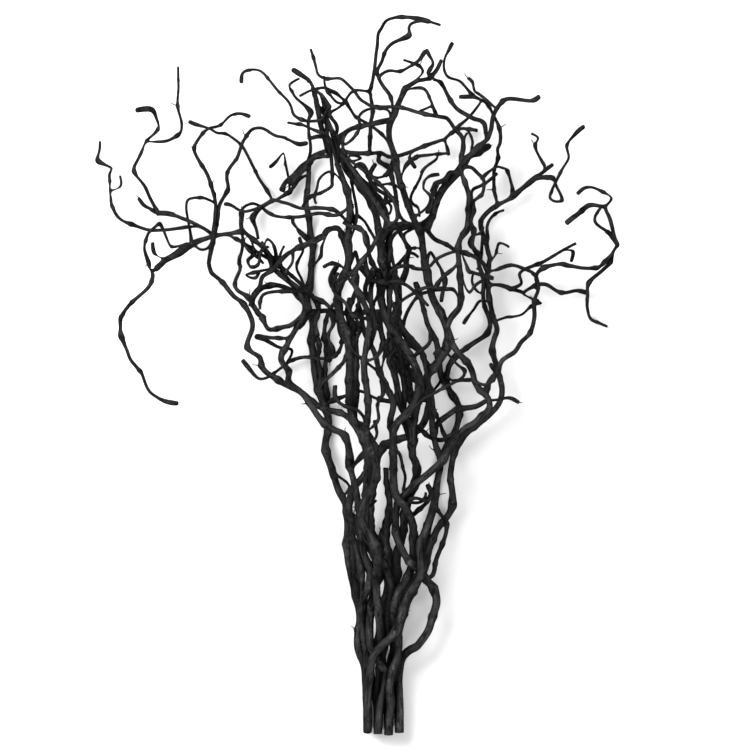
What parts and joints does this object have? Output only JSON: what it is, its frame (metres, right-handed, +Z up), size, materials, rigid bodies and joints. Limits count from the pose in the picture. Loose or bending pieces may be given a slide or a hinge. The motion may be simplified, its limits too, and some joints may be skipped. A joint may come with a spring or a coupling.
{
  "type": "willow stems",
  "caption": "Loose bunch of cut, branching corkscrew willow stems with dark bark, lying flat for use in a tall vase or floor arrangement.",
  "frame": {"origin": "on the surface the bunch lies on, under the middle of its overall box", "axes": "+Y from the cut butts to the twig tips, +X to the right seen from above, +Z up from the surface"},
  "size_m": [0.7858, 1.0864, 0.3582],
  "materials": {
    "bark": "dyed charcoal-black willow bark, matt with a faint dull sheen on the smooth internodes"
  },
  "bodies": {
    "root": {"stem_01": "bark", "stem_02": "bark", "stem_03": "bark", "stem_04": "bark", "stem_05": "bark", "stem_06": "bark", "stem_07": "bark", "stem_08": "bark", "stem_09": "bark", "stem_10": "bark", "stem_11": "bark", "stem_12": "bark"}
  },
  "joints": []
}
